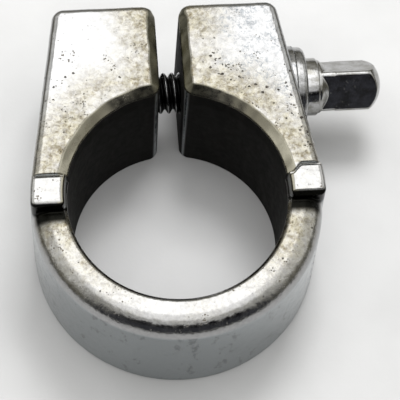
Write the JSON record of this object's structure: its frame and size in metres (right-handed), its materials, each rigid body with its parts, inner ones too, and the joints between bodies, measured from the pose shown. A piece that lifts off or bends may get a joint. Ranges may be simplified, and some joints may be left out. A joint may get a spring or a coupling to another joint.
{
  "type": "split tube collar",
  "caption": "Cast split ring that grips a round tube, drawn closed across its slot by a square-headed key bolt with a washer.",
  "frame": {"origin": "on the tube bore's axis, in the plane of the collar's flat base", "axes": "+Z along the bore toward the tops of the jaws, +Y toward the slot's open end, +X toward the bolt's head"},
  "size_m": [0.0558, 0.0541, 0.0215],
  "materials": {
    "plated_casting": "worn bright plating with pits and brown staining",
    "washer_steel": "bright plating, lightly scuffed",
    "bolt_steel": "bright plating, lightly scuffed, dark thread"
  },
  "bodies": {
    "collar": {"clamp_body": "plated_casting"},
    "washer": {"flat_washer": "washer_steel"},
    "bolt": {"key_bolt": "bolt_steel"}
  },
  "joints": [
    {"name": "bolt_turn", "type": "hinge", "parent": "collar", "child": "washer", "pos_m": [0, 0.02164, 0.01075], "axis": [1, 0, 0], "range_deg": [0, 2880]},
    {"name": "bolt_travel", "type": "slide", "parent": "washer", "child": "bolt", "axis": [1, 0, 0], "range_m": [0, 0.01016]}
  ],
  "couplings": [
    {"joint": "bolt_travel", "follows": "bolt_turn", "m_per_rad": 0.00020213}
  ]
}
